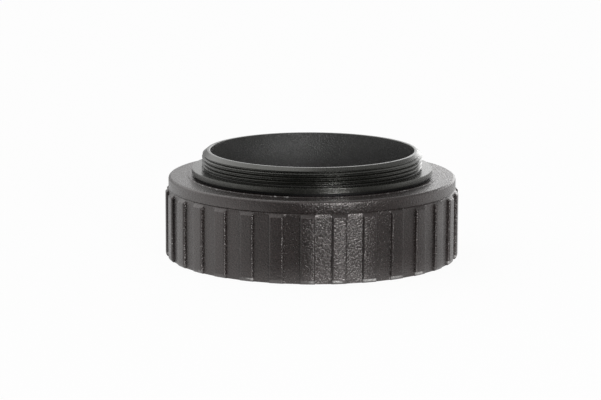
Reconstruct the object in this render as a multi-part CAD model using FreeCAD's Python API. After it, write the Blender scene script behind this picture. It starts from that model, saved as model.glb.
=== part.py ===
# Rotating telescope adapter: a ribbed coupling ring that screws on a telescope's rear cell,
# with a threaded nose for a camera that turns freely in it.
# Millimetres. The origin is the centre of the ring's bottom face, +Z is the optical axis.
import FreeCAD, Part
import math
import os

# Threads. They are plain cylinders here: male ones at the crest, the socket at its minor diameter.
CAMERA_THREAD_DIAMETER = 42.0
STEP_TO_TELESCOPE_THREAD = 4.4
TELESCOPE_THREAD_PITCH = 25.4 / 24
TELESCOPE_THREAD_LENGTH = 8.0

# Grip ring, outside
WALL_OVER_THREAD = 2.0
RIB_COUNT = 30
RIB_DEPTH = 0.6
RIB_GROOVE_WIDTH = 3.05
RIB_CENTRE_ANGLE = -91.75
RIB_ZONE_HEIGHT = 12.9
RIB_FOOT_CHAMFER = 0.35
SCORE_WIDTH = 0.25
SCORE_DEPTH = 0.18
COLLAR_HEIGHT = 2.15
COLLAR_EDGE_CHAMFER = 0.5

# Grip ring, inside
WEB_THICKNESS = 3.3
LAND_MARGIN = 0.75
LAND_HEIGHT = 0.1
LAND_EDGE_BREAK = 0.04
THREAD_RUN_OUT_DEPTH = 0.15
SOCKET_MOUTH_CHAMFER = 0.7
HOLE_EDGE_BREAK = 0.15

# Threaded body
NOSE_WALL = 1.55
NOSE_HEIGHT = 3.4
NOSE_RELIEF_HEIGHT = 0.2
NOSE_RELIEF_DEPTH = 0.3
NOSE_LEAD_HEIGHT = 0.8
NOSE_LEAD_DEPTH = 0.95
RIM_EDGE_BREAK = 0.12
LIP_WIDTH = 1.95
LIP_THICKNESS = 0.95
LIP_EDGE_BREAK = 0.1
BARREL_WALL = 2.0
BARREL_FOOT_CHAMFER = 0.3
RETAINING_THREAD_STEP = 0.45

# Glide washers
UPPER_WASHER_THICKNESS = 0.45
UPPER_WASHER_SETBACK = 0.5
LOWER_WASHER_THICKNESS = 0.5
LOWER_WASHER_SETBACK = 0.6

# Retaining ring
RETAINING_RING_THICKNESS = 2.5
RETAINING_RING_EDGE_CHAMFER = 0.3
SPANNER_SLOT_COUNT = 2
SPANNER_SLOT_WIDTH = 2.2
SPANNER_SLOT_DEPTH = 1.2

# Clearances
TURNING_CLEARANCE = 0.05
AXIAL_CLEARANCE = 0.03
WASHER_BORE_CLEARANCE = 0.1
RETAINING_RING_PASS_CLEARANCE = 0.25

# Radii that follow, from the optical axis out
camera_thread_radius = CAMERA_THREAD_DIAMETER / 2
aperture_radius = camera_thread_radius - NOSE_WALL
barrel_radius = aperture_radius + BARREL_WALL
retaining_thread_radius = barrel_radius - RETAINING_THREAD_STEP
hole_radius = barrel_radius + TURNING_CLEARANCE
washer_bore_radius = barrel_radius + WASHER_BORE_CLEARANCE
lip_radius = camera_thread_radius + LIP_WIDTH
land_radius = lip_radius + LAND_MARGIN
telescope_thread_radius = camera_thread_radius + STEP_TO_TELESCOPE_THREAD
sharp_thread_height = math.sqrt(3) / 2 * TELESCOPE_THREAD_PITCH
socket_radius = telescope_thread_radius - 5 / 8 * sharp_thread_height
chamber_radius = telescope_thread_radius + THREAD_RUN_OUT_DEPTH
retaining_ring_radius = socket_radius - RETAINING_RING_PASS_CLEARANCE
collar_radius = telescope_thread_radius + WALL_OVER_THREAD
rib_radius = collar_radius + RIB_DEPTH

# Levels that follow, from the ring's foot up
score_top = RIB_ZONE_HEIGHT + SCORE_WIDTH
ring_top = score_top + COLLAR_HEIGHT
land_top = ring_top + LAND_HEIGHT
web_underside = ring_top - WEB_THICKNESS
lower_washer_top = web_underside - AXIAL_CLEARANCE
retaining_ring_top = lower_washer_top - LOWER_WASHER_THICKNESS
retaining_ring_bottom = retaining_ring_top - RETAINING_RING_THICKNESS
upper_washer_bottom = land_top + AXIAL_CLEARANCE
lip_bottom = upper_washer_bottom + UPPER_WASHER_THICKNESS
lip_top = lip_bottom + LIP_THICKNESS
nose_top = lip_top + NOSE_HEIGHT


def turned(profile):
    """A solid of revolution about the optical axis, from (radius, height) corners."""
    corners = [FreeCAD.Vector(radius, 0, height) for radius, height in profile]
    face = Part.Face(Part.makePolygon(corners + corners[:1]))
    return face.revolve(FreeCAD.Vector(0, 0, 0), FreeCAD.Vector(0, 0, 1), 360)


def around_axis(shape, angle):
    """A copy of a shape, turned about the optical axis."""
    copy = shape.copy()
    copy.rotate(FreeCAD.Vector(0, 0, 0), FreeCAD.Vector(0, 0, 1), angle)
    return copy


def rib_groove(angle):
    """The straight cut of a milling cutter between two ribs, open at the foot and at the score."""
    overrun = RIB_DEPTH
    height = RIB_ZONE_HEIGHT + SCORE_WIDTH / 2 + overrun
    start = FreeCAD.Vector(collar_radius, -RIB_GROOVE_WIDTH / 2, -overrun)
    cutter = Part.makeBox(RIB_DEPTH + overrun, RIB_GROOVE_WIDTH, height, start)
    return around_axis(cutter, angle)


def make_grip_ring():
    """The coupling ring, turned from bar: socket, chamber, web with its land, collar and ribs."""
    rib_shoulder = RIB_ZONE_HEIGHT - RIB_DEPTH
    run_out_end = TELESCOPE_THREAD_LENGTH + chamber_radius - socket_radius
    blank = turned([
        (socket_radius + SOCKET_MOUTH_CHAMFER, 0),
        (rib_radius - RIB_FOOT_CHAMFER, 0),
        (rib_radius, RIB_FOOT_CHAMFER),
        (rib_radius, rib_shoulder),
        (collar_radius, RIB_ZONE_HEIGHT),
        (collar_radius - SCORE_DEPTH, RIB_ZONE_HEIGHT + SCORE_WIDTH / 2),
        (collar_radius, score_top),
        (collar_radius, ring_top - COLLAR_EDGE_CHAMFER),
        (collar_radius - COLLAR_EDGE_CHAMFER, ring_top),
        (land_radius, ring_top),
        (land_radius, land_top - LAND_EDGE_BREAK),
        (land_radius - LAND_EDGE_BREAK, land_top),
        (hole_radius + HOLE_EDGE_BREAK, land_top),
        (hole_radius, land_top - HOLE_EDGE_BREAK),
        (hole_radius, web_underside + HOLE_EDGE_BREAK),
        (hole_radius + HOLE_EDGE_BREAK, web_underside),
        (chamber_radius, web_underside),
        (chamber_radius, run_out_end),
        (socket_radius, TELESCOPE_THREAD_LENGTH),
        (socket_radius, SOCKET_MOUTH_CHAMFER),
    ])
    pitch_angle = 360 / RIB_COUNT
    first_groove = RIB_CENTRE_ANGLE + pitch_angle / 2
    grooves = [rib_groove(first_groove + number * pitch_angle) for number in range(RIB_COUNT)]
    return blank.cut(Part.makeCompound(grooves))


def make_threaded_body():
    """The camera side in one turned piece: nose, lip, barrel and the end for the retaining ring."""
    relief_radius = camera_thread_radius - NOSE_RELIEF_DEPTH
    relief_top = lip_top + NOSE_RELIEF_HEIGHT
    return turned([
        (aperture_radius + RIM_EDGE_BREAK, retaining_ring_bottom),
        (retaining_thread_radius - BARREL_FOOT_CHAMFER, retaining_ring_bottom),
        (retaining_thread_radius, retaining_ring_bottom + BARREL_FOOT_CHAMFER),
        (retaining_thread_radius, retaining_ring_top),
        (barrel_radius, retaining_ring_top),
        (barrel_radius, lip_bottom),
        (lip_radius - LIP_EDGE_BREAK, lip_bottom),
        (lip_radius, lip_bottom + LIP_EDGE_BREAK),
        (lip_radius, lip_top - LIP_EDGE_BREAK),
        (lip_radius - LIP_EDGE_BREAK, lip_top),
        (relief_radius, lip_top),
        (relief_radius, relief_top),
        (camera_thread_radius, relief_top + NOSE_RELIEF_DEPTH / 2),
        (camera_thread_radius, nose_top - NOSE_LEAD_HEIGHT),
        (camera_thread_radius - NOSE_LEAD_DEPTH, nose_top),
        (aperture_radius + RIM_EDGE_BREAK, nose_top),
        (aperture_radius, nose_top - RIM_EDGE_BREAK),
        (aperture_radius, retaining_ring_bottom + RIM_EDGE_BREAK),
    ])


def make_washer(outer_radius, bottom, thickness):
    """A flat glide washer on the barrel."""
    return turned([
        (washer_bore_radius, bottom),
        (outer_radius, bottom),
        (outer_radius, bottom + thickness),
        (washer_bore_radius, bottom + thickness),
    ])


def make_retaining_ring():
    """The ring that screws on the barrel's end from below, with slots for a pin spanner."""
    chamfer = RETAINING_RING_EDGE_CHAMFER
    ring = turned([
        (retaining_thread_radius, retaining_ring_bottom),
        (retaining_ring_radius - chamfer, retaining_ring_bottom),
        (retaining_ring_radius, retaining_ring_bottom + chamfer),
        (retaining_ring_radius, retaining_ring_top - chamfer),
        (retaining_ring_radius - chamfer, retaining_ring_top),
        (retaining_thread_radius, retaining_ring_top),
    ])
    length = retaining_ring_radius - retaining_thread_radius + 2 * SPANNER_SLOT_WIDTH
    start = FreeCAD.Vector(
        retaining_thread_radius - SPANNER_SLOT_WIDTH,
        -SPANNER_SLOT_WIDTH / 2,
        retaining_ring_bottom - SPANNER_SLOT_DEPTH,
    )
    slot = Part.makeBox(length, SPANNER_SLOT_WIDTH, 2 * SPANNER_SLOT_DEPTH, start)
    for number in range(SPANNER_SLOT_COUNT):
        ring = ring.cut(around_axis(slot, number * 360 / SPANNER_SLOT_COUNT))
    return ring


sub_parts = {
    "grip_ring": make_grip_ring(),
    "threaded_body": make_threaded_body(),
    "upper_glide_washer": make_washer(
        lip_radius - UPPER_WASHER_SETBACK, upper_washer_bottom, UPPER_WASHER_THICKNESS
    ),
    "lower_glide_washer": make_washer(
        retaining_ring_radius - LOWER_WASHER_SETBACK, retaining_ring_top, LOWER_WASHER_THICKNESS
    ),
    "retaining_ring": make_retaining_ring(),
}

os.makedirs("parts", exist_ok=True)
for name, shape in sub_parts.items():
    shape.exportStep(f"parts/{name}.step")
    box = shape.BoundBox
    print(
        f"{name}: {len(shape.Solids)} solid, valid {shape.isValid()}, {shape.Volume:.1f} mm3, "
        f"{box.XLength:.2f} x {box.YLength:.2f} mm, z {box.ZMin:.2f} to {box.ZMax:.2f}"
    )
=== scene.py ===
# Looks of the rotating telescope adapter: fine meshes, finishes, light and camera.
import math

import bpy
from mathutils import Matrix, Vector


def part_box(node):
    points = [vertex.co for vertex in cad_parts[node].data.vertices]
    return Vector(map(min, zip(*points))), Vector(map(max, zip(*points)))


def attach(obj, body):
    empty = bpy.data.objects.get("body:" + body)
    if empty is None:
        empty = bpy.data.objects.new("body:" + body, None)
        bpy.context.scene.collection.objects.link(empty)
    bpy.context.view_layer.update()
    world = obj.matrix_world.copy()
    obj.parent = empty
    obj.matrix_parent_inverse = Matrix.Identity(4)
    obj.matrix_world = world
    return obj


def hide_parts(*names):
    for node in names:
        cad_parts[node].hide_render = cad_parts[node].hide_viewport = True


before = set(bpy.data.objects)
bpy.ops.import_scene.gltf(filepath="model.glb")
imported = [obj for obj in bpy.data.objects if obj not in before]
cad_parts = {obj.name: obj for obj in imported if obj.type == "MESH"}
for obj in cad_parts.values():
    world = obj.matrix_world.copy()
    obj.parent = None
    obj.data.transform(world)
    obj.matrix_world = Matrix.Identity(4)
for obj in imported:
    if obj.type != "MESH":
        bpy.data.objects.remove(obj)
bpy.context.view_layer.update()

# Sizes in millimetres: those of the solids, with finer roundings. A finished piece is scaled to metres.
MM = 0.001
CAMERA_THREAD_RADIUS = 21.0
CAMERA_THREAD_PITCH = 0.75
TELESCOPE_THREAD_RADIUS = 25.4
TELESCOPE_THREAD_PITCH = 25.4 / 24
TELESCOPE_THREAD_LENGTH = 8.0
SHARP_HEIGHT_PER_PITCH = math.sqrt(3) / 2
ROOT_FLAT_PER_PITCH = 1 / 8
MALE_DEPTH_PER_SHARP_HEIGHT = 17 / 24
FEMALE_DEPTH_PER_SHARP_HEIGHT = 5 / 8
NOSE_CUTTER_OVERRUN = 0.04
SOCKET_CUTTER_OVERRUN = 0.12

WALL_OVER_THREAD = 2.0
RIB_COUNT = 30
RIB_DEPTH = 0.6
RIB_GROOVE_WIDTH = 3.05
RIB_CENTRE_ANGLE = -91.75
RIB_ZONE_HEIGHT = 12.9
RIB_FOOT_CHAMFER = 0.35
RIB_EDGE_ROUNDING = 0.35
RIB_FOOT_ROUNDING = 0.9
RUBBED_FROM = 0.27
SCORE_WIDTH = 0.25
SCORE_DEPTH = 0.18
COLLAR_EDGE_ROUNDING = 0.5
LAND_MARGIN = 0.75
LAND_HEIGHT = 0.1
LAND_EDGE_ROUNDING = 0.07
WEB_THICKNESS = 3.3
THREAD_RUN_OUT_DEPTH = 0.15
SOCKET_MOUTH_CHAMFER = 0.7

NOSE_WALL = 1.55
NOSE_RELIEF_HEIGHT = 0.2
NOSE_RELIEF_DEPTH = 0.3
NOSE_LEAD_HEIGHT = 0.8
NOSE_LEAD_DEPTH = 0.95
RIM_OUTER_ROUNDING = 0.22
RIM_INNER_ROUNDING = 0.12
LIP_WIDTH = 1.95
LIP_THICKNESS = 0.95
BARREL_WALL = 2.0
BARREL_FOOT_CHAMFER = 0.3
RETAINING_THREAD_STEP = 0.45
SPANNER_SLOT_WIDTH = 2.2
SPANNER_SLOT_DEPTH = 1.2
UPPER_WASHER_SETBACK = 0.5
LOWER_WASHER_SETBACK = 0.6
TURNING_CLEARANCE = 0.05
WASHER_BORE_CLEARANCE = 0.1
RETAINING_RING_PASS_CLEARANCE = 0.25

CAMERA_THREAD_START_HEIGHT = 17.0
CAMERA_THREAD_START_ANGLE = 166

EDGE_ROUNDING = 0.06
RING_EDGE_ROUNDING = 0.04
CHAMFER_ANGLE = 45
SAME_POINT = 0.002
SAME_LOOP = 0.01
FACE_MARGIN = 0.02
CLEAR_OF_FLOOR = 0.1
SMOOTH_UP_TO = 35
TURNED_SEGMENTS = 240
RIB_COLUMNS = 20
RIB_ROUNDING_STEPS = 4

# Which of a piece's finishes is which. The first, number 0, is its plain one.
WORN_EDGE = 1
RIB_FOOT, LAND_EDGE = 2, 3
# UNDERCUT_SHADE is a near-black finish that paints the shade in the nose's undercut.
BORE, UNDERCUT_SHADE = 2, 3

# Radii that follow
aperture_radius = CAMERA_THREAD_RADIUS - NOSE_WALL
barrel_radius = aperture_radius + BARREL_WALL
retaining_thread_radius = barrel_radius - RETAINING_THREAD_STEP
hole_radius = barrel_radius + TURNING_CLEARANCE
washer_bore_radius = barrel_radius + WASHER_BORE_CLEARANCE
lip_radius = CAMERA_THREAD_RADIUS + LIP_WIDTH
land_radius = lip_radius + LAND_MARGIN
socket_thread_depth = FEMALE_DEPTH_PER_SHARP_HEIGHT * SHARP_HEIGHT_PER_PITCH * TELESCOPE_THREAD_PITCH
socket_radius = TELESCOPE_THREAD_RADIUS - socket_thread_depth
chamber_radius = TELESCOPE_THREAD_RADIUS + THREAD_RUN_OUT_DEPTH
retaining_ring_radius = socket_radius - RETAINING_RING_PASS_CLEARANCE
collar_radius = TELESCOPE_THREAD_RADIUS + WALL_OVER_THREAD
rib_radius = collar_radius + RIB_DEPTH


def level(node, top):
    """The height in millimetres of a node's top or bottom."""
    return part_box(node)[1 if top else 0].z / MM


land_top = level("grip_ring", top=True)
ring_top = land_top - LAND_HEIGHT
web_underside = ring_top - WEB_THICKNESS
lip_bottom = level("upper_glide_washer", top=True)
lip_top = lip_bottom + LIP_THICKNESS
nose_top = level("threaded_body", top=True)
barrel_foot = level("threaded_body", top=False)
retaining_ring_top = level("retaining_ring", top=True)


# Mesh tools


def edit(piece):
    """Opens a piece alone in edit mode with nothing selected in it."""
    bpy.ops.object.select_all(action="DESELECT")
    piece.select_set(True)
    bpy.context.view_layer.objects.active = piece
    bpy.ops.object.mode_set(mode="EDIT")
    bpy.ops.mesh.select_mode(type="VERT")
    bpy.ops.mesh.select_all(action="DESELECT")


def close_edit():
    bpy.ops.object.mode_set(mode="OBJECT")


def select_vertices(piece, wanted):
    """Selects a piece's vertices by a test, from edit mode."""
    bpy.ops.mesh.select_all(action="DESELECT")
    close_edit()
    for vertex in piece.data.vertices:
        vertex.select = wanted(vertex)
    bpy.ops.object.mode_set(mode="EDIT")


def give_finish(piece, finish, wanted):
    """Gives one of a piece's finishes to the faces that a test of their middles picks."""
    edit(piece)
    bpy.ops.mesh.select_mode(type="FACE")
    close_edit()
    for face in piece.data.polygons:
        face.select = wanted(face.center)
    bpy.ops.object.mode_set(mode="EDIT")
    piece.active_material_index = finish
    bpy.ops.object.material_slot_assign()
    close_edit()


def turned(name, corners, materials, segments=TURNED_SEGMENTS):
    """A solid of revolution: a circle is extruded from corner to corner of a closed section."""
    radius, height = corners[0]
    bpy.ops.object.select_all(action="DESELECT")
    bpy.ops.mesh.primitive_circle_add(vertices=segments, radius=radius)
    piece = bpy.context.active_object
    piece.name = name
    for material in materials:
        piece.data.materials.append(material)
    bpy.ops.object.mode_set(mode="EDIT")
    bpy.ops.mesh.select_mode(type="VERT")
    bpy.ops.mesh.select_all(action="SELECT")
    bpy.ops.transform.translate(value=(0, 0, height))
    for next_radius, next_height in corners[1:] + corners[:1]:
        rise = (0, 0, next_height - height)
        share = next_radius / radius
        bpy.ops.mesh.extrude_region_move(TRANSFORM_OT_translate={"value": rise})
        bpy.ops.transform.resize(value=(share, share, 1), center_override=(0, 0, next_height))
        radius, height = next_radius, next_height
    bpy.ops.mesh.select_all(action="SELECT")
    bpy.ops.mesh.remove_doubles(threshold=SAME_POINT)
    bpy.ops.mesh.normals_make_consistent(inside=False)
    close_edit()
    return piece


def turn_about_axis(angle):
    """Turns the selection about the optical axis, counter-clockwise seen from above."""
    bpy.ops.transform.rotate(value=-angle, orient_axis="Z", center_override=(0, 0, 0))


def arc(middle, radius, start, end, steps):
    """Points of a section's rounding, between two bearings in degrees."""
    points = []
    for step in range(steps + 1):
        bearing = math.radians(start + (end - start) * step / steps)
        points.append((middle[0] + radius * math.cos(bearing), middle[1] + radius * math.sin(bearing)))
    return points


def round_edges(piece, width=EDGE_ROUNDING, sharpness=25, segments=2):
    """Rounds every sharp edge. The strips that this makes get the worn finish."""
    edit(piece)
    bpy.ops.mesh.select_mode(type="EDGE")
    bpy.ops.mesh.edges_select_sharp(sharpness=math.radians(sharpness))
    bpy.ops.mesh.bevel(offset=width, segments=segments, profile=0.5, material=WORN_EDGE)
    close_edit()


def helix_cutter(name, crest_radius, root_radius, overrun, pitch, bottom, top, start_angle=0):
    """A right-handed thread groove's solid, 60 degrees wide, with its flat at root_radius."""
    root_flat = pitch * ROOT_FLAT_PER_PITCH
    outward = 1 if root_radius > crest_radius else -1
    mouth_radius = crest_radius - outward * overrun
    depth = abs(root_radius - mouth_radius)
    half_mouth = root_flat / 2 + depth * math.tan(math.radians(30))
    middle = (root_radius + mouth_radius) / 2
    bpy.ops.object.select_all(action="DESELECT")
    bpy.ops.mesh.primitive_plane_add(size=1, location=(middle, 0, bottom), rotation=(math.pi / 2, 0, 0))
    cutter = bpy.context.active_object
    cutter.name = name
    cutter.scale = (depth, root_flat, 1)
    bpy.ops.object.transform_apply(location=True, rotation=True, scale=True)
    edit(cutter)
    select_vertices(cutter, lambda vertex: abs(vertex.co.x - mouth_radius) < depth / 2)
    widening = 2 * half_mouth / root_flat
    bpy.ops.transform.resize(value=(1, 1, widening), center_override=(mouth_radius, 0, bottom))
    bpy.ops.mesh.select_all(action="SELECT")
    bpy.ops.mesh.delete(type="ONLY_FACE")
    close_edit()
    turns = math.ceil((top - bottom) / pitch)
    screw = cutter.modifiers.new("turns", "SCREW")
    screw.axis = "Z"
    screw.screw_offset = pitch
    screw.iterations = turns
    screw.steps = TURNED_SEGMENTS
    screw.render_steps = TURNED_SEGMENTS
    screw.use_merge_vertices = False
    bpy.ops.object.modifier_apply(modifier=screw.name)
    edit(cutter)
    bpy.ops.mesh.select_all(action="SELECT")
    bpy.ops.mesh.remove_doubles(threshold=SAME_POINT)
    bpy.ops.mesh.select_all(action="DESELECT")
    bpy.ops.mesh.select_non_manifold()
    bpy.ops.mesh.edge_face_add()
    bpy.ops.mesh.select_all(action="SELECT")
    bpy.ops.mesh.normals_make_consistent(inside=False)
    turn_about_axis(math.radians(start_angle))
    close_edit()
    return cutter


def cut(piece, cutter):
    """Takes the cutter's solid out of the piece, and the cutter away."""
    bpy.ops.object.select_all(action="DESELECT")
    piece.select_set(True)
    bpy.context.view_layer.objects.active = piece
    difference = piece.modifiers.new("cut", "BOOLEAN")
    difference.operation = "DIFFERENCE"
    difference.solver = "EXACT"
    difference.object = cutter
    bpy.ops.object.modifier_apply(modifier=difference.name)
    bpy.data.objects.remove(cutter)


def finish_piece(piece, body, node):
    """Scales a piece to metres, shades it and puts it in the place of its CAD node."""
    bpy.ops.object.select_all(action="DESELECT")
    piece.select_set(True)
    bpy.context.view_layer.objects.active = piece
    piece.scale = (MM, MM, MM)
    bpy.ops.object.transform_apply(location=True, rotation=True, scale=True)
    bpy.ops.object.shade_smooth_by_angle(angle=math.radians(SMOOTH_UP_TO))
    even = piece.modifiers.new("flat_faces", "WEIGHTED_NORMAL")
    even.keep_sharp = True
    bpy.ops.object.modifier_apply(modifier=even.name)
    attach(piece, body)
    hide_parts(node)
    return piece


# The grip ring


def rib_section():
    """Half a rib pitch as (degrees from the rib's middle, radius), out to the groove's middle.

    A mill cuts the groove straight, so its walls are parallel and its floor is flat.
    """
    half_pitch = 180 / RIB_COUNT
    half_groove = RIB_GROOVE_WIDTH / 2

    def seen_from_axis(depth, offset):
        return half_pitch - math.degrees(math.atan2(offset, depth)), math.hypot(depth, offset)

    offset = half_groove + RIB_EDGE_ROUNDING
    depth = math.sqrt((rib_radius - RIB_EDGE_ROUNDING) ** 2 - offset ** 2)
    crest_bearing = math.degrees(math.atan2(offset, depth))
    edge = arc((depth, offset), RIB_EDGE_ROUNDING, crest_bearing, -90, RIB_ROUNDING_STEPS)
    edge = [seen_from_axis(*point) for point in edge]
    crest = [(edge[0][0] * share, rib_radius) for share in (0, 1 / 3, 2 / 3)]
    floor = [seen_from_axis(collar_radius, half_groove * share) for share in (1, 1 / 2, 0)]
    return crest, edge, floor


def rib_foot_section():
    """The foot of a rib's crest as (radius, height): the chamfer, then the rounding over it."""
    tangent = RIB_FOOT_ROUNDING * math.tan(math.radians(CHAMFER_ANGLE / 2))
    middle = (rib_radius - RIB_FOOT_ROUNDING, RIB_FOOT_CHAMFER + tangent)
    return [(rib_radius - RIB_FOOT_CHAMFER, 0), *arc(middle, RIB_FOOT_ROUNDING, -CHAMFER_ANGLE, 0, 6)]


def column_of(place):
    """The column within its rib pitch, counted from the rib's middle to either side."""
    turn = math.degrees(math.atan2(place.y, place.x)) * RIB_COUNT * RIB_COLUMNS / 360
    return (round(turn) + RIB_COLUMNS // 2) % RIB_COLUMNS - RIB_COLUMNS // 2


def shape_ribs(piece):
    """Moves the columns of the ribbed zone to the ribs' crests, rounded edges, walls and floors."""
    crest, edge, floor = rib_section()
    columns = [column_of(vertex.co) for vertex in piece.data.vertices]

    def loop_at(radius, height):
        near = set()
        for vertex in piece.data.vertices:
            off_radius = abs(vertex.co.xy.length - radius)
            if off_radius < SAME_LOOP and abs(vertex.co.z - height) < SAME_LOOP:
                near.add(vertex.index)
        return near

    shoulder = (rib_radius, RIB_ZONE_HEIGHT - RIB_DEPTH)
    loops = [(loop_at(*corner), corner[0]) for corner in [*rib_foot_section(), shoulder]]
    score = loop_at(collar_radius, RIB_ZONE_HEIGHT)
    loops.append((score, collar_radius))
    edit(piece)
    for column, (angle, radius) in enumerate(crest + edge + floor):
        own_angle = column * 360 / RIB_COUNT / RIB_COLUMNS
        in_wall = len(crest) <= column <= len(crest) + len(edge)
        for members, loop_radius in loops:
            goal = floor[0][0] if in_wall and members is score else angle
            share = min(radius, loop_radius) / loop_radius
            for side in (1, -1):
                select_vertices(piece, lambda v: v.index in members and columns[v.index] == side * column)
                turn_about_axis(math.radians(goal - own_angle) * side)
            select_vertices(piece, lambda v: v.index in members and abs(columns[v.index]) == column)
            bpy.ops.transform.resize(value=(share, share, 1), center_override=(0, 0, 0))
    select_vertices(piece, lambda v: v.index in score)
    bpy.ops.mesh.remove_doubles(threshold=SAME_POINT)
    close_edit()


def on_rib_edge(place):
    """Whether a face's middle lies on the worn middle of a rib's rounded edge."""
    crest, edge, floor = rib_section()
    pitch = 360 / RIB_COUNT
    bearing = abs((math.degrees(math.atan2(place.y, place.x)) + pitch / 2) % pitch - pitch / 2)
    in_zone = RUBBED_FROM < place.z < RIB_ZONE_HEIGHT - RIB_DEPTH
    on_edge = edge[1][0] < bearing < edge[-2][0]
    return in_zone and on_edge and place.xy.length > collar_radius + CLEAR_OF_FLOOR


def on_rib_foot(place):
    """Whether a face's middle lies high on the rounding of a rib's foot."""
    in_zone = RUBBED_FROM < place.z < rib_foot_section()[-1][1]
    return in_zone and place.xy.length > collar_radius + CLEAR_OF_FLOOR


def make_grip_ring(materials):
    run_out_end = TELESCOPE_THREAD_LENGTH + chamber_radius - socket_radius
    rounding_middle = (collar_radius - COLLAR_EDGE_ROUNDING, ring_top - COLLAR_EDGE_ROUNDING)
    land_middle = (land_radius - LAND_EDGE_ROUNDING, land_top - LAND_EDGE_ROUNDING)
    piece = turned("ribbed_grip_ring", [
        (socket_radius + SOCKET_MOUTH_CHAMFER, 0),
        *rib_foot_section(),
        (rib_radius, RIB_ZONE_HEIGHT - RIB_DEPTH),
        (collar_radius, RIB_ZONE_HEIGHT),
        (collar_radius - SCORE_DEPTH, RIB_ZONE_HEIGHT + SCORE_WIDTH / 2),
        (collar_radius, RIB_ZONE_HEIGHT + SCORE_WIDTH),
        *arc(rounding_middle, COLLAR_EDGE_ROUNDING, 0, 90, 5),
        (land_radius, ring_top),
        *arc(land_middle, LAND_EDGE_ROUNDING, 0, 90, 4),
        (hole_radius, land_top),
        (hole_radius, web_underside),
        (chamber_radius, web_underside),
        (chamber_radius, run_out_end),
        (socket_radius, TELESCOPE_THREAD_LENGTH),
        (socket_radius, SOCKET_MOUTH_CHAMFER),
    ], materials, segments=RIB_COUNT * RIB_COLUMNS)
    shape_ribs(piece)
    give_finish(piece, WORN_EDGE, on_rib_edge)
    give_finish(piece, RIB_FOOT, on_rib_foot)
    give_finish(piece, LAND_EDGE, lambda middle: (
        middle.xy.length > land_middle[0] and land_middle[1] < middle.z < land_top
    ))
    edit(piece)
    bpy.ops.mesh.select_all(action="SELECT")
    turn_about_axis(math.radians(RIB_CENTRE_ANGLE))
    close_edit()
    round_edges(piece, width=RING_EDGE_ROUNDING)
    cut(piece, helix_cutter(
        "telescope_thread_groove",
        crest_radius=socket_radius,
        root_radius=TELESCOPE_THREAD_RADIUS,
        overrun=SOCKET_CUTTER_OVERRUN,
        pitch=TELESCOPE_THREAD_PITCH,
        bottom=-1.5 * TELESCOPE_THREAD_PITCH,
        top=TELESCOPE_THREAD_LENGTH + TELESCOPE_THREAD_PITCH,
    ))
    return finish_piece(piece, "coupling", "grip_ring")


# The threaded body and what is fixed to it


def make_threaded_body(materials):
    relief_radius = CAMERA_THREAD_RADIUS - NOSE_RELIEF_DEPTH
    relief_top = lip_top + NOSE_RELIEF_HEIGHT
    lead_bearing = math.degrees(math.atan2(NOSE_LEAD_DEPTH, NOSE_LEAD_HEIGHT))
    inward = RIM_OUTER_ROUNDING * math.tan(math.radians((90 - lead_bearing) / 2))
    outer_middle = (CAMERA_THREAD_RADIUS - NOSE_LEAD_DEPTH - inward, nose_top - RIM_OUTER_ROUNDING)
    inner_middle = (aperture_radius + RIM_INNER_ROUNDING, nose_top - RIM_INNER_ROUNDING)
    piece = turned("threaded_nose_and_barrel", [
        (aperture_radius, barrel_foot),
        (retaining_thread_radius - BARREL_FOOT_CHAMFER, barrel_foot),
        (retaining_thread_radius, barrel_foot + BARREL_FOOT_CHAMFER),
        (retaining_thread_radius, retaining_ring_top),
        (barrel_radius, retaining_ring_top),
        (barrel_radius, lip_bottom),
        (lip_radius, lip_bottom),
        (lip_radius, lip_top),
        (relief_radius, lip_top),
        (relief_radius, relief_top),
        (CAMERA_THREAD_RADIUS, relief_top + NOSE_RELIEF_DEPTH / 2),
        (CAMERA_THREAD_RADIUS, nose_top - NOSE_LEAD_HEIGHT),
        *arc(outer_middle, RIM_OUTER_ROUNDING, lead_bearing, 90, 4),
        *arc(inner_middle, RIM_INNER_ROUNDING, 90, 180, 4),
    ], materials)
    give_finish(piece, BORE, lambda middle: abs(middle.xy.length - aperture_radius) < SAME_LOOP)
    # Painted shade: the undercut above the lip gets a near-black finish.
    give_finish(piece, UNDERCUT_SHADE, lambda middle: (
        lip_top < middle.z < relief_top + NOSE_RELIEF_DEPTH / 2
        and relief_radius - FACE_MARGIN < middle.xy.length < CAMERA_THREAD_RADIUS - FACE_MARGIN
    ))
    round_edges(piece)
    thread_depth = MALE_DEPTH_PER_SHARP_HEIGHT * SHARP_HEIGHT_PER_PITCH * CAMERA_THREAD_PITCH
    cut(piece, helix_cutter(
        "camera_thread_groove",
        crest_radius=CAMERA_THREAD_RADIUS,
        root_radius=CAMERA_THREAD_RADIUS - thread_depth,
        overrun=NOSE_CUTTER_OVERRUN,
        pitch=CAMERA_THREAD_PITCH,
        bottom=CAMERA_THREAD_START_HEIGHT,
        top=nose_top + CAMERA_THREAD_PITCH,
        start_angle=CAMERA_THREAD_START_ANGLE,
    ))
    return finish_piece(piece, "rotor", "threaded_body")


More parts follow.
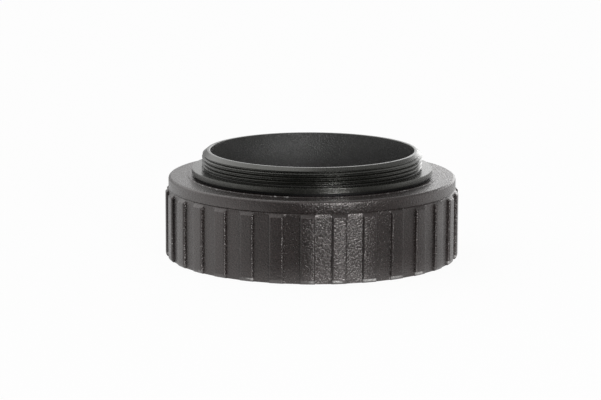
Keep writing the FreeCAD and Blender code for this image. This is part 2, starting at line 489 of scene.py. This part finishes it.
def make_retaining_ring(materials):
    chamfer = BARREL_FOOT_CHAMFER
    piece = turned("retaining_ring_with_slots", [
        (retaining_thread_radius, barrel_foot),
        (retaining_ring_radius - chamfer, barrel_foot),
        (retaining_ring_radius, barrel_foot + chamfer),
        (retaining_ring_radius, retaining_ring_top - chamfer),
        (retaining_ring_radius - chamfer, retaining_ring_top),
        (retaining_thread_radius, retaining_ring_top),
    ], materials)
    middle = (retaining_thread_radius + retaining_ring_radius) / 2
    slot_length = 2 * SPANNER_SLOT_WIDTH + 3
    for side in (1, -1):
        bpy.ops.object.select_all(action="DESELECT")
        bpy.ops.mesh.primitive_cube_add(size=1, location=(side * middle, 0, barrel_foot))
        slot = bpy.context.active_object
        slot.scale = (slot_length, SPANNER_SLOT_WIDTH, 2 * SPANNER_SLOT_DEPTH)
        bpy.ops.object.transform_apply(location=True, rotation=True, scale=True)
        cut(piece, slot)
    round_edges(piece)
    return finish_piece(piece, "rotor", "retaining_ring")


def make_washer(name, node, outer_radius, materials):
    piece = turned(name, [
        (washer_bore_radius, level(node, top=False)),
        (outer_radius, level(node, top=False)),
        (outer_radius, level(node, top=True)),
        (washer_bore_radius, level(node, top=True)),
    ], materials)
    return finish_piece(piece, "rotor", node)


# Materials. Patterns are sized in cells to the millimetre, specks also by their radius in millimetres.
DYE_CLOUDS = 0.15
GRAIN = 3.2
FLECKS = 4.1
DUST_CELLS, DUST_RADIUS = 0.45, 0.09
ROUGHNESS_SPREAD = 0.06


def new_material(name):
    material = bpy.data.materials.new(name)
    material.use_nodes = True
    material.node_tree.nodes.clear()
    return material, material.node_tree.nodes, material.node_tree.links


def in_millimetres(nodes, links):
    """Object coordinates in millimetres, for patterns at the scale of the real grain."""
    place = nodes.new("ShaderNodeTexCoord")
    scaled = nodes.new("ShaderNodeMapping")
    scaled.inputs["Scale"].default_value = (1 / MM, 1 / MM, 1 / MM)
    links.new(place.outputs["Object"], scaled.inputs["Vector"])
    return scaled.outputs["Vector"]


def noise(nodes, links, place, per_mm, detail=2.0, roughness=0.5):
    cloud = nodes.new("ShaderNodeTexNoise")
    cloud.inputs["Scale"].default_value = per_mm
    cloud.inputs["Detail"].default_value = detail
    cloud.inputs["Roughness"].default_value = roughness
    links.new(place, cloud.inputs["Vector"])
    return cloud.outputs["Fac"]


def ramp(nodes, links, value, low, high, start=0.0, end=1.0):
    """Maps a value's span from low to high on start to end, and no further."""
    mapped = nodes.new("ShaderNodeMapRange")
    mapped.inputs["From Min"].default_value = low
    mapped.inputs["From Max"].default_value = high
    mapped.inputs["To Min"].default_value = start
    mapped.inputs["To Max"].default_value = end
    links.new(value, mapped.inputs["Value"])
    return mapped.outputs["Result"]


def blend(nodes, links, share, first, second):
    """Mixes two colours. Each is a colour or another node's output."""
    mix = nodes.new("ShaderNodeMix")
    mix.data_type = "RGBA"
    colour_sockets = [socket for socket in mix.inputs if socket.type == "RGBA"]
    for socket, colour in zip(colour_sockets, (first, second)):
        if isinstance(colour, tuple):
            socket.default_value = (*colour, 1)
        else:
            links.new(colour, socket)
    links.new(share, mix.inputs["Factor"])
    return [socket for socket in mix.outputs if socket.type == "RGBA"][0]


def specks(nodes, links, place, per_mm, radius, rarity):
    """1 in small round specks, about one in every few cells of a grid, else 0."""
    cells = nodes.new("ShaderNodeTexVoronoi")
    cells.inputs["Scale"].default_value = per_mm
    links.new(place, cells.inputs["Vector"])
    split = nodes.new("ShaderNodeSeparateColor")
    links.new(cells.outputs["Color"], split.inputs["Color"])
    near = nodes.new("ShaderNodeMath")
    near.operation = "LESS_THAN"
    near.inputs[1].default_value = radius * per_mm
    links.new(cells.outputs["Distance"], near.inputs[0])
    chosen = nodes.new("ShaderNodeMath")
    chosen.operation = "GREATER_THAN"
    chosen.inputs[1].default_value = rarity
    links.new(split.outputs["Red"], chosen.inputs[0])
    both = nodes.new("ShaderNodeMath")
    both.operation = "MULTIPLY"
    links.new(near.outputs["Value"], both.inputs[0])
    links.new(chosen.outputs["Value"], both.inputs[1])
    return both.outputs["Value"]


def anodised(name, dark, tinge, fleck, sheen, ior, roughness, grain_height, dust=0.985, bare=None):
    """Black anodised aluminium: blasted grain, cloudy dye, small flecks and a little dust.

    bare is a mask of the spots where the bare metal shows.
    """
    material, nodes, links = new_material(name)
    place = in_millimetres(nodes, links)
    dye = ramp(nodes, links, noise(nodes, links, place, DYE_CLOUDS, 3), 0.35, 0.65)
    grain = noise(nodes, links, place, GRAIN, 3, 0.6)
    speckle = ramp(nodes, links, noise(nodes, links, place, FLECKS, 1), 0.52, 0.7)
    colour = blend(nodes, links, dye, dark, tinge)
    colour = blend(nodes, links, speckle, colour, fleck)
    dust_specks = specks(nodes, links, place, DUST_CELLS, DUST_RADIUS, dust)
    colour = blend(nodes, links, dust_specks, colour, DUST)
    bump = nodes.new("ShaderNodeBump")
    bump.inputs["Strength"].default_value = 1
    bump.inputs["Distance"].default_value = grain_height * MM
    links.new(grain, bump.inputs["Height"])
    shader = nodes.new("ShaderNodeBsdfPrincipled")
    shader.inputs["IOR"].default_value = ior
    shader.inputs["Specular Tint"].default_value = (*sheen, 1)
    if bare:
        mask = bare(nodes, links, place)
        colour = blend(nodes, links, mask, colour, BARE_METAL)
        links.new(mask, shader.inputs["Metallic"])
    links.new(colour, shader.inputs["Base Color"])
    smoothest, roughest = roughness - ROUGHNESS_SPREAD, roughness + ROUGHNESS_SPREAD
    rough = ramp(nodes, links, grain, 0.3, 0.7, smoothest, roughest)
    links.new(rough, shader.inputs["Roughness"])
    links.new(bump.outputs["Normal"], shader.inputs["Normal"])
    out = nodes.new("ShaderNodeOutputMaterial")
    links.new(shader.outputs["BSDF"], out.inputs["Surface"])
    return material


def rubbed_dots(nodes, links, place):
    """Scattered dots, where an edge has been knocked."""
    return specks(nodes, links, place, 2.4, 0.08, 0.7)


def knocked_dots(nodes, links, place):
    """Dots in clusters, where the edge of the land has been knocked."""
    clusters = ramp(nodes, links, noise(nodes, links, place, 0.2, 1), 0.42, 0.5)
    both = nodes.new("ShaderNodeMath")
    both.operation = "MULTIPLY"
    links.new(clusters, both.inputs[0])
    links.new(specks(nodes, links, place, 2.0, 0.2, 0.35), both.inputs[1])
    return both.outputs["Value"]


def few_dots(nodes, links, place):
    return specks(nodes, links, place, 1.6, 0.08, 0.9)


def rubbed_patches(nodes, links, place):
    """Patches of fine scratches, where the ring has stood and been slid."""
    stretches = ramp(nodes, links, noise(nodes, links, place, 0.33, 1), 0.5, 0.6, 0.08, 0.75)
    scratches = ramp(nodes, links, noise(nodes, links, place, 3.0, 3, 0.7), 0.28, 0.55)
    both = nodes.new("ShaderNodeMath")
    both.operation = "MULTIPLY"
    links.new(stretches, both.inputs[0])
    links.new(scratches, both.inputs[1])
    return both.outputs["Value"]


DUST = (0.5, 0.49, 0.47)
BARE_METAL = (0.62, 0.61, 0.6)
RING_DYE = ((0.0075, 0.0057, 0.0053), (0.0115, 0.0079, 0.0076), (0.026, 0.0176, 0.0168), (1, 0.945, 0.93))
BODY_DYE = ((0.004, 0.0042, 0.0034), (0.007, 0.0072, 0.006), (0.014, 0.014, 0.012), (1, 1, 0.94))
BORE_DYE = ((0.022, 0.022, 0.021), (0.03, 0.03, 0.029), (0.05, 0.05, 0.048), (1, 1, 1))
# Near-black dye: the washers' black plastic darkened further, as painted shade in the slot under the lip,
# and painted shade in the nose's undercut.
BLACK_AND_PAINTED_SHADE_DYE = ((0.003, 0.003, 0.003), (0.004, 0.004, 0.004), (0.006, 0.006, 0.006), (1, 1, 1))

METAL_IOR, BORE_IOR, DULL_IOR = 1.8, 1.5, 1.25

ring_finishes = [
    anodised("blasted_black_anodising", *RING_DYE, METAL_IOR, roughness=0.28, grain_height=0.085),
    anodised("rubbed_rib_edge", *RING_DYE, METAL_IOR, roughness=0.3, grain_height=0.08, bare=rubbed_dots),
    anodised(
        "rubbed_rib_foot", *RING_DYE, METAL_IOR, roughness=0.36, grain_height=0.1, bare=rubbed_patches
    ),
    anodised("knocked_land_edge", *RING_DYE, METAL_IOR, roughness=0.3, grain_height=0.1, bare=knocked_dots),
]
body_finishes = [
    anodised("turned_black_anodising", *BODY_DYE, METAL_IOR, roughness=0.25, grain_height=0.02),
    anodised("rubbed_body_edge", *BODY_DYE, METAL_IOR, roughness=0.3, grain_height=0.02, bare=few_dots),
    anodised("matt_black_bore", *BORE_DYE, BORE_IOR, roughness=0.33, grain_height=0.19),
    # Painted shade: a near-black, dull finish for the nose's undercut.
    anodised("undercut_painted_shade", *BLACK_AND_PAINTED_SHADE_DYE, DULL_IOR, roughness=0.5, grain_height=0.01),
]
# The washers' black plastic, darkened to near-black as painted shade in the slot under the lip.
washer_finishes = [anodised("black_washer_plastic_and_slot_shade", *BLACK_AND_PAINTED_SHADE_DYE, DULL_IOR, roughness=0.5, grain_height=0.01)]

make_grip_ring(ring_finishes)
make_threaded_body(body_finishes)
make_retaining_ring(body_finishes)
upper_washer_radius = lip_radius - UPPER_WASHER_SETBACK
lower_washer_radius = retaining_ring_radius - LOWER_WASHER_SETBACK
make_washer("upper_washer", "upper_glide_washer", upper_washer_radius, washer_finishes)
make_washer("lower_washer", "lower_glide_washer", lower_washer_radius, washer_finishes)


# Stage, light and camera


def bearing_of(nodes, links, place):
    """Bearing about the optical axis, 0 to 1 from the back by the left, the front and the right."""
    parts = nodes.new("ShaderNodeSeparateXYZ")
    links.new(place, parts.inputs["Vector"])
    front = nodes.new("ShaderNodeMath")
    front.operation = "MULTIPLY"
    front.inputs[1].default_value = -1
    links.new(parts.outputs["Y"], front.inputs[0])
    turn = nodes.new("ShaderNodeMath")
    turn.operation = "ARCTAN2"
    links.new(parts.outputs["X"], turn.inputs[0])
    links.new(front.outputs["Value"], turn.inputs[1])
    return ramp(nodes, links, turn.outputs["Value"], -math.pi, math.pi), parts


def light_by_bearing(nodes, links, bearing, levels):
    """Light that changes round the object. levels holds it by degrees from the camera's side."""
    stops = nodes.new("ShaderNodeValToRGB")
    links.new(bearing, stops.inputs["Fac"])
    elements = stops.color_ramp.elements
    while len(elements) < len(levels):
        elements.new(0.5)
    for element, (degrees, light) in zip(elements, sorted(levels.items())):
        element.position = (degrees + 180) / 360
        element.color = (light, light, light, 1)
    return stops.outputs["Color"]


# Light by bearing, in degrees from the camera's side and positive to the right. The room is dark behind the
# camera.
# SHEET_LIGHT is painted light: the glow that mirror rays see on the floor, black in front of the white sheet
# that the part stands on.
SHEET_LIGHT = {
    -180: 0.7, -150: 0.7, -120: 1, -90: 1, -60: 1, -30: 0.55, -15: 0.06,
    0: 0.01, 30: 0.08, 60: 0.3, 90: 0.9, 120: 1, 150: 1, 180: 0.7,
}
LOW_LIGHT = {
    -180: 1.3, -171: 0.4, -150: 0.4, -120: 1.4, -90: 0.8, -60: 0.3, -30: 0.1,
    0: 0.04, 30: 0.08, 60: 0.2, 90: 0.45, 120: 1.2, 150: 2.9, 171: 3.2, 180: 1.3,
}
HIGH_LIGHT = {-180: 0.9, -140: 1.6, -90: 1.1, 0: 0.45, 90: 0.4, 140: 0.4, 180: 0.9}
LOW_UP_TO, HIGH_FROM = 10, 21
SHEET_FRONT_EDGE = (-0.114, -0.098)
SHEET_SHARE = 0.95
WHITE_GLOW_ROUND_FOOT = (0.031, 0.037)
FLOOR_SIZE = 6
PALE_GREY = (0.8, 0.8, 0.8, 1)
PICTURE_WIDTH = 601


def make_floor():
    """A pale floor. Camera and mirror rays see mostly its glow, and a little of its shadow. The glow is
    white to the camera;
    to mirror rays it is painted light that changes with bearing, white round the foot and black in front of
    the sheet.
    """
    bpy.ops.object.select_all(action="DESELECT")
    bpy.ops.mesh.primitive_plane_add(size=FLOOR_SIZE)
    floor = bpy.context.active_object
    floor.name = "floor"
    material, nodes, links = new_material("pale_floor")
    matte = nodes.new("ShaderNodeBsdfDiffuse")
    matte.inputs["Color"].default_value = PALE_GREY
    place = nodes.new("ShaderNodeTexCoord")
    bearing, parts = bearing_of(nodes, links, place.outputs["Object"])
    on_sheet = ramp(nodes, links, parts.outputs["Y"], *SHEET_FRONT_EDGE)
    from_axis = nodes.new("ShaderNodeVectorMath")
    from_axis.operation = "LENGTH"
    links.new(place.outputs["Object"], from_axis.inputs[0])
    far = ramp(nodes, links, from_axis.outputs["Value"], *WHITE_GLOW_ROUND_FOOT)
    # Painted light: mirror rays see the floor glow white round the foot, by bearing further out, and black
    # in front of the sheet.
    sheet = blend(nodes, links, far, (1, 1, 1), light_by_bearing(nodes, links, bearing, SHEET_LIGHT))
    painted_glow_for_mirrors = blend(nodes, links, on_sheet, (0, 0, 0), sheet)
    path = nodes.new("ShaderNodeLightPath")
    glow = nodes.new("ShaderNodeEmission")
    glow.inputs["Strength"].default_value = 1
    links.new(blend(nodes, links, path.outputs["Is Camera Ray"], painted_glow_for_mirrors, (1, 1, 1)), glow.inputs["Color"])
    direct = nodes.new("ShaderNodeMath")
    direct.operation = "MAXIMUM"
    links.new(path.outputs["Is Camera Ray"], direct.inputs[0])
    links.new(path.outputs["Is Glossy Ray"], direct.inputs[1])
    share = ramp(nodes, links, direct.outputs["Value"], 0, 1, 0, SHEET_SHARE)
    both = nodes.new("ShaderNodeMixShader")
    links.new(share, both.inputs["Fac"])
    links.new(matte.outputs["BSDF"], both.inputs[1])
    links.new(glow.outputs["Emission"], both.inputs[2])
    out = nodes.new("ShaderNodeOutputMaterial")
    links.new(both.outputs["Shader"], out.inputs["Surface"])
    floor.data.materials.append(material)


def make_world():
    world = bpy.data.worlds.new("white_surroundings")
    bpy.context.scene.world = world
    world.use_nodes = True
    nodes = world.node_tree.nodes
    links = world.node_tree.links
    nodes.clear()
    place = nodes.new("ShaderNodeTexCoord")
    bearing, parts = bearing_of(nodes, links, place.outputs["Generated"])
    low = light_by_bearing(nodes, links, bearing, LOW_LIGHT)
    high = light_by_bearing(nodes, links, bearing, HIGH_LIGHT)
    limits = [math.sin(math.radians(degrees)) for degrees in (LOW_UP_TO, HIGH_FROM)]
    room = blend(nodes, links, ramp(nodes, links, parts.outputs["Z"], *limits), low, high)
    path = nodes.new("ShaderNodeLightPath")
    seen = blend(nodes, links, path.outputs["Is Camera Ray"], room, (1, 1, 1))
    background = nodes.new("ShaderNodeBackground")
    background.inputs["Strength"].default_value = 1
    links.new(seen, background.inputs["Color"])
    out = nodes.new("ShaderNodeOutputWorld")
    links.new(background.outputs["Background"], out.inputs["Surface"])


def add_lamp(name, place, aim, size, power):
    data = bpy.data.lights.new(name, "AREA")
    data.shape = "DISK"
    data.size = size
    data.energy = power
    lamp = bpy.data.objects.new(name, data)
    bpy.context.scene.collection.objects.link(lamp)
    lamp.location = place
    lamp.rotation_euler = (Vector(aim) - Vector(place)).to_track_quat("-Z", "Y").to_euler()
    return lamp


def lamp_place(azimuth, elevation, distance):
    """A place from its bearing: azimuth 0 is the camera's side, positive to the right."""
    turn = math.radians(azimuth)
    rise = math.radians(elevation)
    flat = distance * math.cos(rise)
    return (flat * math.sin(turn), -flat * math.cos(turn), distance * math.sin(rise))


def make_camera():
    """The camera that the photo was taken with, worked out from the rims' ellipses."""
    distance = 500.0
    pixels_per_millimetre = 5.224
    elevation = math.radians(10.84)
    roll = math.radians(0.22)
    target = Vector((-2.18, 0, 10.37)) * MM
    ahead = Vector((0, math.cos(elevation), -math.sin(elevation)))
    level_right = Vector((1, 0, 0))
    level_up = Vector((0, math.sin(elevation), math.cos(elevation)))
    right = level_right * math.cos(roll) + level_up * math.sin(roll)
    up = level_up * math.cos(roll) - level_right * math.sin(roll)
    data = bpy.data.cameras.new("camera")
    data.sensor_width = 36
    data.lens = pixels_per_millimetre * distance * data.sensor_width / PICTURE_WIDTH
    data.clip_start = 0.01
    data.clip_end = 20
    camera = bpy.data.objects.new("camera", data)
    bpy.context.scene.collection.objects.link(camera)
    turn = Matrix((right, up, -ahead)).transposed().to_4x4()
    camera.matrix_world = Matrix.Translation(target - ahead * distance * MM) @ turn
    bpy.context.scene.camera = camera


make_floor()
make_world()
lamp_at = lamp_place(azimuth=22, elevation=10, distance=0.6)
add_lamp("front_right", lamp_at, aim=(0, 0, 0.012), size=0.09, power=2.0)
make_camera()
bpy.context.scene.view_settings.view_transform = "Standard"
